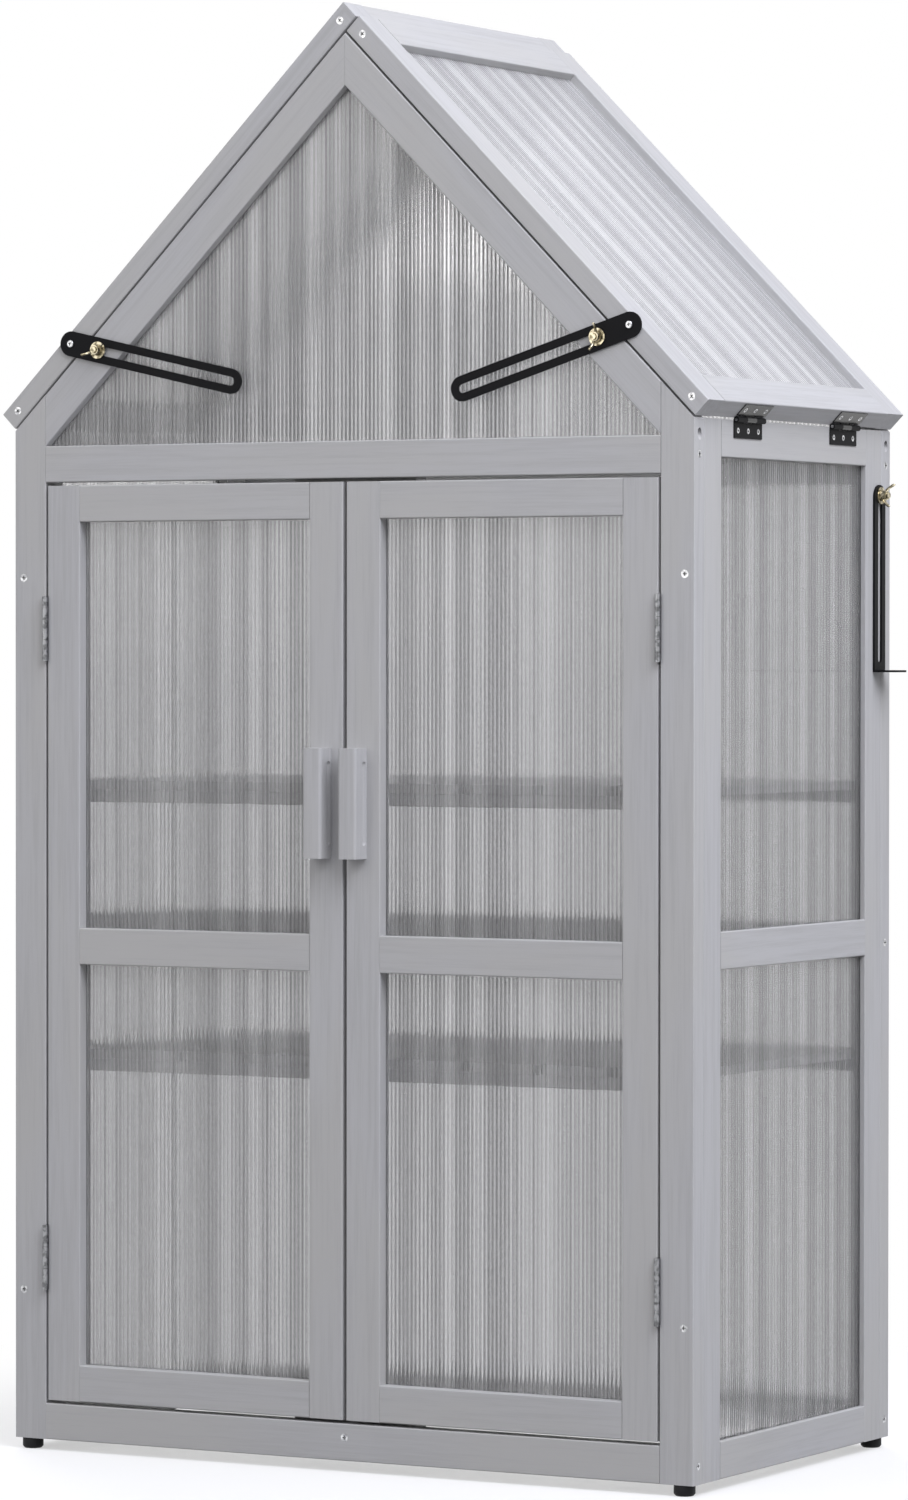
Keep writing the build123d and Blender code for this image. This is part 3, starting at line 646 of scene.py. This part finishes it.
class WingNutSize(bpy.types.PropertyGroup):
    """Sizes of the wing nuts."""

    hub_radius: bpy.props.FloatProperty(
        name="Hub Radius", description="Radius of the hub where it meets the washer",
        default=0.0054, min=0.004, unit="LENGTH",
    )
    neck_radius: bpy.props.FloatProperty(
        name="Neck Radius", description="Radius of the hub at its top",
        default=0.0044, min=0.0035, unit="LENGTH",
    )
    hub_height: bpy.props.FloatProperty(
        name="Hub Height", description="Height of the hub",
        default=0.006, min=0.003, unit="LENGTH",
    )
    bore_radius: bpy.props.FloatProperty(
        name="Bore Radius", description="Radius of the hole for the bolt",
        default=0.00305, min=0.001, unit="LENGTH",
    )
    wing_thickness: bpy.props.FloatProperty(
        name="Wing Thickness", description="Thickness of the wings",
        default=0.0026, min=0.001, unit="LENGTH",
    )


class FootSize(bpy.types.PropertyGroup):
    """Sizes of the feet."""

    rim: bpy.props.FloatProperty(
        name="Rim", description="Height of the straight rim under the post",
        default=0.0083, min=0.001, unit="LENGTH",
    )
    taper: bpy.props.FloatProperty(
        name="Taper", description="Radius of the sole as a share of the rim's",
        default=0.79, min=0.3, max=1, subtype="FACTOR",
    )
    dish: bpy.props.FloatProperty(
        name="Dish", description="Depth of the hollow in the sole",
        default=0.0008, min=0, unit="LENGTH",
    )


class StageLook(bpy.types.PropertyGroup):
    """Camera, light and floor."""

    azimuth: bpy.props.FloatProperty(
        name="Azimuth", description="How far the camera stands to the right of the front",
        default=math.radians(28.99), subtype="ANGLE",
    )
    elevation: bpy.props.FloatProperty(
        name="Elevation", description="How far the camera stands above the level",
        default=math.radians(0.90), subtype="ANGLE",
    )
    roll: bpy.props.FloatProperty(
        name="Roll", description="How far the camera is tilted sideways",
        default=math.radians(0.04), subtype="ANGLE",
    )
    distance: bpy.props.FloatProperty(
        name="Distance", description="From the camera to the point that it looks at",
        default=6.0123, min=1, unit="LENGTH",
    )
    target: bpy.props.FloatVectorProperty(
        name="Target", description="The point that the camera looks at",
        default=(0.0104, -0.00625, 0.6782), size=3, subtype="TRANSLATION", unit="LENGTH",
    )
    lens: bpy.props.FloatProperty(
        name="Lens", description="Focal length in millimetres",
        default=149.15, min=10,
    )
    floor: bpy.props.FloatVectorProperty(
        name="Floor", description="Colour of the floor where it is seen",
        default=(0.9, 0.9, 0.9), size=3, subtype="COLOR", min=0, max=1,
    )
    floor_bounce: bpy.props.FloatVectorProperty(
        name="Floor Bounce", description="Colour of the floor where it lights the greenhouse",
        default=(0.27, 0.27, 0.27), size=3, subtype="COLOR", min=0, max=1,
    )
    sky: bpy.props.FloatVectorProperty(
        name="Upper Light", description="Colour of the soft light from above",
        default=(0.58, 0.595, 0.67), size=3, subtype="COLOR", min=0, max=1,
    )
    surround: bpy.props.FloatVectorProperty(
        name="Level Light", description="Colour of the soft light from the sides",
        default=(0.345, 0.34, 0.335), size=3, subtype="COLOR", min=0, max=1,
    )
    key_power: bpy.props.FloatProperty(
        name="Key Power", description="Power of the large lamp above the right side",
        default=170.0, min=0, unit="POWER",
    )
    fill_power: bpy.props.FloatProperty(
        name="Fill Power", description="Power of the large lamp before the front",
        default=38.0, min=0, unit="POWER",
    )
    back_power: bpy.props.FloatProperty(
        name="Back Power", description="Power of the large lamp behind the left side",
        default=130.0, min=0, unit="POWER",
    )


class GREENHOUSE_OT_timber(bpy.types.Operator):
    """Finishes every board, slat and handle as grey-washed softwood"""

    bl_idname = "greenhouse.timber"
    bl_label = "Finish Timber"

    def execute(self, context):
        look = context.scene.timber_look
        boards = dict(BOARDS)
        for side in SIDES:
            for name, grain in {**DOOR_BOARDS, **ROOF_BOARDS}.items():
                boards[f"{side}_{name}"] = grain
        for seed, (node, grain) in enumerate(boards.items()):
            paint(node, timber_finish(f"{node} timber", grain, seed, look))
        return {"FINISHED"}


class GREENHOUSE_OT_glazing(bpy.types.Operator):
    """Finishes the twin-wall sheets of the walls, doors, gables and roof"""

    bl_idname = "greenhouse.glazing"
    bl_label = "Finish Glazing"

    def execute(self, context):
        look = context.scene.sheet_look
        for node, (through, across) in SHEETS.items():
            clearness = look.clearness
            if "roof" in node:
                clearness = look.roof_clearness
            elif "side" in node:
                clearness = look.side_clearness
            paint(node, sheet_finish(f"{node} sheet", node, through, across, look, clearness))
        context.scene.cycles.transparent_max_bounces = SHEET_BOUNCES
        return {"FINISHED"}


class GREENHOUSE_OT_arms(bpy.types.Operator):
    """Finishes the stays, the wall ties and the roof hinges in black powder coat"""

    bl_idname = "greenhouse.arms"
    bl_label = "Finish Arms and Roof Hinges"

    def execute(self, context):
        look = context.scene.fitting_look
        coat = powder_coat_finish("black powder coat", look, gloss=0.08, roughness=0.45)
        glossy = powder_coat_finish("glossy black coat", look, gloss=0.5, roughness=0.15)
        paint("roof_hinge_wall_leaves", coat)
        for side in SIDES:
            paint(f"{side}_roof_hinge_leaves", glossy)
            paint(f"{side}_stay_arm", coat)
            paint(f"{side}_tie_arm", coat)
        return {"FINISHED"}


class GREENHOUSE_OT_screws(bpy.types.Operator):
    """Finishes the screws in bright zinc, and the door hinges and the hinge pins in dull zinc"""

    bl_idname = "greenhouse.screws"
    bl_label = "Finish Screws and Door Hinges"

    def execute(self, context):
        look = context.scene.fitting_look
        zinc = plated_finish("bright zinc", look.zinc, look.zinc_dull_and_reflection, look)
        dull = plated_finish("dull zinc", look.zinc_dull_and_reflection, look.hinge, look)
        paint("frame_screws", zinc)
        paint("hinge_pins", dull)
        paint("door_hinge_post_leaves", dull)
        for side in SIDES:
            paint(f"{side}_door_hinge_leaves", dull)
            paint(f"{side}_door_screws", zinc)
            paint(f"{side}_roof_screws", zinc)
            paint(f"{side}_stay_pivot_screw", zinc)
        return {"FINISHED"}


class GREENHOUSE_OT_bolts(bpy.types.Operator):
    """Finishes the clamp bolts and their washers in yellow zinc"""

    bl_idname = "greenhouse.bolts"
    bl_label = "Finish Bolts and Washers"

    def execute(self, context):
        look = context.scene.fitting_look
        zinc = plated_finish("yellow zinc", look.yellow_zinc, look.yellow_dull_and_reflection, look)
        paint("clamp_bolts", zinc)
        for side in SIDES:
            paint(f"{side}_stay_washer", zinc)
            paint(f"{side}_tie_washer", zinc)
        return {"FINISHED"}


def model_wing_nut(size):
    """A wing nut that stands on the origin, with its wings along X."""
    bpy.ops.object.select_all(action="DESELECT")
    bpy.ops.mesh.primitive_cylinder_add(
        vertices=ROUND_SIDES, radius=size.hub_radius, depth=size.hub_height,
        location=(0, 0, size.hub_height / 2),
    )
    hub = bpy.context.object
    apply_place(hub)
    pick_faces(hub, lambda face: face.normal.z > FACING)
    neck = size.neck_radius / size.hub_radius
    bpy.ops.transform.resize(value=(neck, neck, 1))
    close_edit()

    root = Vector((WING_ROOT_LENGTH, size.wing_thickness, WING_ROOT_HEIGHT))
    bpy.ops.object.select_all(action="DESELECT")
    bpy.ops.mesh.primitive_cube_add(size=1, location=WING_ROOT_PLACE, scale=root)
    wings = bpy.context.object
    apply_place(wings)
    for step, growth in WING_STEPS:
        pick_faces(wings, outermost(wings))
        bpy.ops.mesh.extrude_region_move(TRANSFORM_OT_translate={"value": step})
        bpy.ops.transform.resize(value=(1, 1, growth))
        close_edit()
    apply_modifier(wings, "SUBSURF", levels=2, render_levels=2)
    apply_modifier(wings, "MIRROR", use_axis=(True, False, False))
    join_solids(hub, wings, "UNION")

    bpy.ops.object.select_all(action="DESELECT")
    bpy.ops.mesh.primitive_cylinder_add(
        vertices=ROUND_SIDES, radius=size.bore_radius, depth=BORE_LENGTH
    )
    bore = bpy.context.object
    apply_place(bore)
    join_solids(hub, bore, "DIFFERENCE")
    round_off(hub, *NUT_ROUND)
    return hub


def outermost(piece):
    """A test for the face of a piece that lies farthest along X."""
    limit = max(face.center.x for face in piece.data.polygons) - 1e-6
    return lambda face: face.center.x > limit


def nut_frame(node, joint):
    """Where a wing nut stands: its Z along the bolt and its X along the wings."""
    outward = Vector(joint["axis"])
    foot = Vector(joint["pos_m"])
    up = Vector((0, 0, 1))
    level = up.cross(outward)
    spots = [vertex.co - foot for vertex in frame["nodes"][node].data.vertices]
    rise = min(spot.dot(outward) for spot in spots)
    flat = [(spot.dot(level), spot.dot(up)) for spot in spots]
    turn = 0.5 * math.atan2(sum(2 * x * y for x, y in flat), sum(x * x - y * y for x, y in flat))
    turned = Matrix((level, up, outward)).transposed().to_4x4()
    return Matrix.Translation(foot + rise * outward) @ turned @ Matrix.Rotation(turn, 4, "Z")


class GREENHOUSE_OT_wing_nuts(bpy.types.Operator):
    """Models the wing nuts of the stays and the wall ties"""

    bl_idname = "greenhouse.wing_nuts"
    bl_label = "Model Wing Nuts"

    def execute(self, context):
        size = context.scene.wing_nut_size
        look = context.scene.fitting_look
        zinc = plated_finish("yellow zinc wing nut", look.yellow_zinc, look.yellow_dull_and_reflection, look)
        joints = {joint["name"]: joint for joint in frame["joints"]}
        pattern = model_wing_nut(size)
        pattern.data.materials.append(zinc)
        for side in SIDES:
            for kind in ("stay", "tie"):
                node = f"{side}_{kind}_wing_nut"
                nut = copy_of(pattern, f"{side}_{kind}_winged_nut")
                nut.matrix_world = nut_frame(node, joints[f"{side}_{kind}_nut_turn"])
                apply_place(nut)
                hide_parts(node)
                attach(nut, f"{side}_{kind}_nut")
        bpy.data.objects.remove(pattern, do_unlink=True)
        return {"FINISHED"}


class GREENHOUSE_OT_feet(bpy.types.Operator):
    """Models the four moulded feet under the posts"""

    bl_idname = "greenhouse.feet"
    bl_label = "Model Feet"

    def execute(self, context):
        size = context.scene.foot_size
        low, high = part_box("feet")
        height = high.z - low.z
        rim_radius = max(
            (Vector((v.co.x, v.co.y)) - Vector((high.x, high.y))).length
            for v in frame["nodes"]["feet"].data.vertices
            if v.co.x > 0 and v.co.y > 0
        ) / (1 + math.sqrt(2))
        foot = self.model_foot(size, rim_radius, low.z, height)
        foot.data.materials.append(plastic_finish("black plastic", context.scene.fitting_look))
        feet = []
        for x in (low.x + rim_radius, high.x - rim_radius):
            for y in (low.y + rim_radius, high.y - rim_radius):
                placed = copy_of(foot, "moulded_feet")
                placed.matrix_world = Matrix.Translation((x, y, 0))
                apply_place(placed)
                feet.append(placed)
        bpy.data.objects.remove(foot, do_unlink=True)
        bpy.ops.object.select_all(action="DESELECT")
        for placed in feet:
            placed.select_set(True)
        bpy.context.view_layer.objects.active = feet[0]
        bpy.ops.object.join()
        joined = bpy.context.object
        joined.name = "moulded_feet"
        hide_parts("feet")
        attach(joined, "frame")
        return {"FINISHED"}

    def model_foot(self, size, radius, bottom, height):
        """One foot on the middle of the floor."""
        bpy.ops.object.select_all(action="DESELECT")
        straight = bottom + height - size.rim
        bpy.ops.mesh.primitive_cylinder_add(
            vertices=ROUND_SIDES, radius=radius, depth=size.rim,
            location=(0, 0, straight + size.rim / 2),
        )
        foot = bpy.context.object
        apply_place(foot)
        pick_faces(foot, lambda face: face.normal.z < -FACING)
        drop = (0, 0, bottom - straight)
        bpy.ops.mesh.extrude_region_move(TRANSFORM_OT_translate={"value": drop})
        bpy.ops.transform.resize(value=(size.taper, size.taper, 1))
        bpy.ops.mesh.inset(thickness=SOLE_RING * radius)
        bpy.ops.transform.translate(value=(0, 0, size.dish))
        close_edit()
        round_off(foot, *FOOT_ROUND)
        return foot


class GREENHOUSE_OT_stage(bpy.types.Operator):
    """Sets up the floor, the light and the camera"""

    bl_idname = "greenhouse.stage"
    bl_label = "Set Up Stage"

    def execute(self, context):
        scene = context.scene
        look = scene.stage_look
        scene.view_settings.view_transform = "Standard"
        self.add_floor(look)
        self.light_world(scene, look)
        for name, (spot, tint) in LAMPS.items():
            self.add_lamp(f"{name} lamp", getattr(look, f"{name}_power"), spot, tint)
        self.add_camera(scene, look)
        return {"FINISHED"}

    def add_floor(self, look):
        """A pale floor that fades to white and keeps the shadow."""
        bpy.ops.object.select_all(action="DESELECT")
        bpy.ops.mesh.primitive_circle_add(
            vertices=FLOOR_SIDES, radius=FLOOR_RADIUS, fill_type="NGON"
        )
        floor = bpy.context.object
        floor.name = "floor"
        finish = new_finish("pale floor")
        seen = self.seen_rays(finish)
        spread = finish.node(
            "ShaderNodeVectorMath", {"operation": "LENGTH"}, {0: finish.place()}, "Value"
        )
        shade = finish.blend(seen, colour(look.floor_bounce), colour(look.floor))
        matt = finish.node("ShaderNodeBsdfDiffuse", inputs={"Color": shade})
        white = finish.node("ShaderNodeEmission", inputs={"Strength": 1.0})
        faded = finish.ramp(spread, *FLOOR_FADE, FLOOR_WHITE, 1.0) * seen
        both = finish.node("ShaderNodeMixShader", inputs={0: faded, 1: matt, 2: white})
        finish.node("ShaderNodeOutputMaterial", inputs={"Surface": both})
        floor.data.materials.append(finish.owner)

    def seen_rays(self, finish):
        """One for the rays that show the background, straight, in a reflection or through glass."""
        rays = finish.node("ShaderNodeLightPath", output="Is Camera Ray")
        mirrored = rays.output("Is Glossy Ray")
        passed = rays.output("Is Transmission Ray")
        shown = rays.math("MAXIMUM", mirrored, passed)
        return rays.math("MAXIMUM", rays, shown)

    def light_world(self, scene, look):
        """A white backdrop, with soft light that is strongest from above."""
        scene.world = bpy.data.worlds.new("studio")
        finish = Finish(scene.world)
        spot = finish.node("ShaderNodeTexCoord", output="Generated")
        rise = finish.node("ShaderNodeSeparateXYZ", inputs={0: spot}).output("Z")
        soft = finish.blend(finish.ramp(rise, 0.0, 0.8), colour(look.surround), colour(look.sky))
        shown = finish.blend(self.seen_rays(finish), soft, (1, 1, 1, 1))
        backdrop = finish.node("ShaderNodeBackground", inputs={"Color": shown, "Strength": 1.0})
        finish.node("ShaderNodeOutputWorld", inputs={"Surface": backdrop})

    def add_lamp(self, name, power, spot, tint):
        """A large square lamp that faces the middle of the greenhouse."""
        bpy.ops.object.light_add(type="AREA", location=spot)
        lamp = bpy.context.object
        lamp.name = name
        lamp.data.energy = power
        lamp.data.size = LAMP_WIDTH
        lamp.data.color = tint
        aim = Vector(LAMP_TARGET) - Vector(spot)
        lamp.rotation_mode = "QUATERNION"
        lamp.rotation_quaternion = aim.to_track_quat("-Z", "Y")

    def add_camera(self, scene, look):
        """A camera at the photograph's viewing angle."""
        level = math.cos(look.elevation)
        back = Vector((
            math.sin(look.azimuth) * level,
            -math.cos(look.azimuth) * level,
            math.sin(look.elevation),
        ))
        bpy.ops.object.camera_add(location=Vector(look.target) + look.distance * back)
        camera = bpy.context.object
        camera.rotation_mode = "QUATERNION"
        facing = (-back).to_track_quat("-Z", "Y")
        camera.rotation_quaternion = facing @ Matrix.Rotation(look.roll, 3, "Z").to_quaternion()
        camera.data.lens = look.lens
        camera.data.sensor_width = SENSOR_WIDTH
        camera.data.clip_end = FARTHEST_SEEN
        scene.camera = camera


class GREENHOUSE_PT_panel(bpy.types.Panel):
    """Lists the steps that finish the greenhouse"""

    bl_idname = "GREENHOUSE_PT_panel"
    bl_label = "Mini Greenhouse"
    bl_space_type = "VIEW_3D"
    bl_region_type = "UI"
    bl_category = "Greenhouse"

    def draw(self, context):
        for operator in OPERATORS:
            self.layout.operator(operator.bl_idname)
        for name in GROUPS:
            settings = getattr(context.scene, name)
            box = self.layout.box()
            for key in settings.__annotations__:
                box.prop(settings, key)


GROUPS = {
    "timber_look": TimberLook,
    "sheet_look": SheetLook,
    "fitting_look": FittingLook,
    "wing_nut_size": WingNutSize,
    "foot_size": FootSize,
    "stage_look": StageLook,
}
OPERATORS = (
    GREENHOUSE_OT_timber,
    GREENHOUSE_OT_glazing,
    GREENHOUSE_OT_arms,
    GREENHOUSE_OT_screws,
    GREENHOUSE_OT_bolts,
    GREENHOUSE_OT_wing_nuts,
    GREENHOUSE_OT_feet,
    GREENHOUSE_OT_stage,
)


def register():
    for name, group in GROUPS.items():
        bpy.utils.register_class(group)
        setattr(bpy.types.Scene, name, bpy.props.PointerProperty(type=group))
    for operator in OPERATORS:
        bpy.utils.register_class(operator)
    bpy.utils.register_class(GREENHOUSE_PT_panel)


def unregister():
    bpy.utils.unregister_class(GREENHOUSE_PT_panel)
    for operator in reversed(OPERATORS):
        bpy.utils.unregister_class(operator)
    for name, group in reversed(GROUPS.items()):
        delattr(bpy.types.Scene, name)
        bpy.utils.unregister_class(group)


def main():
    register()
    bpy.ops.greenhouse.timber()
    bpy.ops.greenhouse.glazing()
    bpy.ops.greenhouse.arms()
    bpy.ops.greenhouse.screws()
    bpy.ops.greenhouse.bolts()
    bpy.ops.greenhouse.wing_nuts()
    bpy.ops.greenhouse.feet()
    bpy.ops.greenhouse.stage()


if __name__ == "__main__":
    main()
